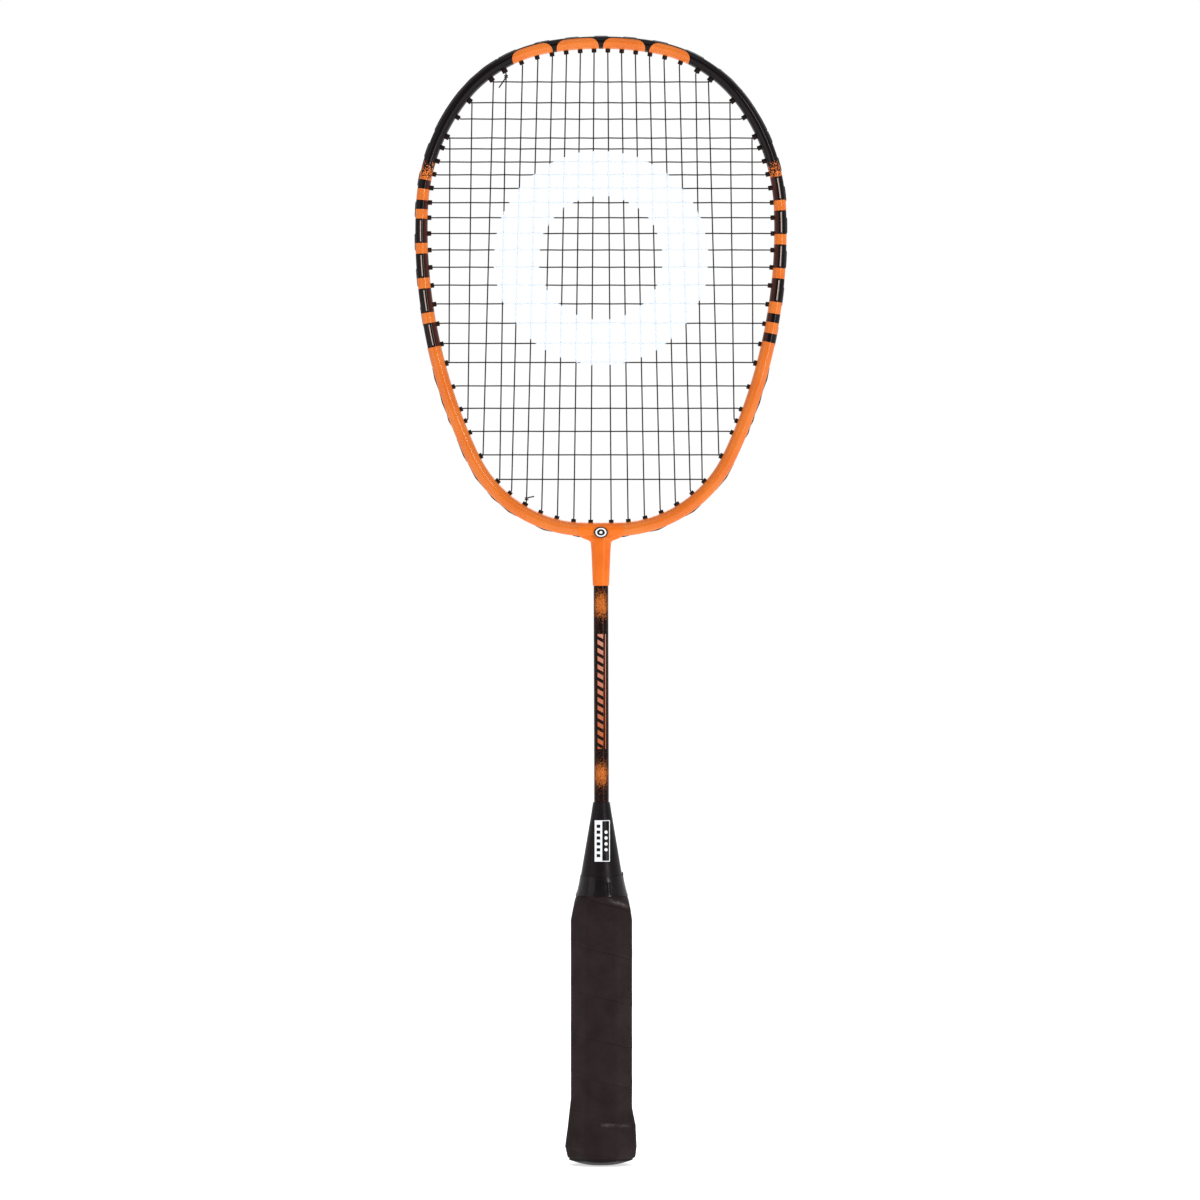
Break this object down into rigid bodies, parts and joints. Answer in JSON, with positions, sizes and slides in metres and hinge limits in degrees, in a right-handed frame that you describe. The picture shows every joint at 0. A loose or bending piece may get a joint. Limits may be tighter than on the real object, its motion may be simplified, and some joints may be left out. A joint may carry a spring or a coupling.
{
  "type": "badminton racket",
  "caption": "Short strung racket with an oval tube head, T joint, round shaft, cone cap and wrapped eight-sided handle.",
  "frame": {"origin": "middle of the flat butt end, on the racket's long axis", "axes": "+Z from the butt to the crown of the head, X across the head, Y through the string bed, front towards -Y"},
  "size_m": [0.1984, 0.0356, 0.6003],
  "materials": {
    "hoop_paint": "gloss orange paint with black bands",
    "joint_paint": "gloss orange paint",
    "badge": "gloss plastic badge",
    "grommet": "black nylon",
    "string": "black multifilament nylon string",
    "shaft_paint": "gloss black paint on steel",
    "handle_wood": "bare basswood",
    "bare_steel": "plain steel",
    "cone_plastic": "gloss black plastic",
    "label": "printed white and black foil",
    "butt_plastic": "black plastic",
    "grip": "matte dark brown-black polyurethane wrap",
    "tape": "gloss black vinyl tape"
  },
  "bodies": {
    "root": {"head_hoop": "hoop_paint", "t_joint": "joint_paint", "t_joint_badge": "badge", "crown_grommets": "grommet", "throat_grommets": "grommet", "right_side_grommets": "grommet", "left_side_grommets": "grommet", "lower_side_grommets": "grommet", "right_shared_grommets": "grommet", "left_shared_grommets": "grommet", "tie_off_grommets": "grommet", "main_strings": "string", "cross_strings": "string", "upper_knot": "string", "lower_knot": "string", "shaft": "shaft_paint", "handle_core": "handle_wood", "shaft_pin": "bare_steel", "cone_cap": "cone_plastic", "cone_label": "label", "butt_cap": "butt_plastic", "cap_tacks": "bare_steel", "grip_tack": "bare_steel", "grip_wrap": "grip", "finishing_tape": "tape"}
  },
  "joints": []
}
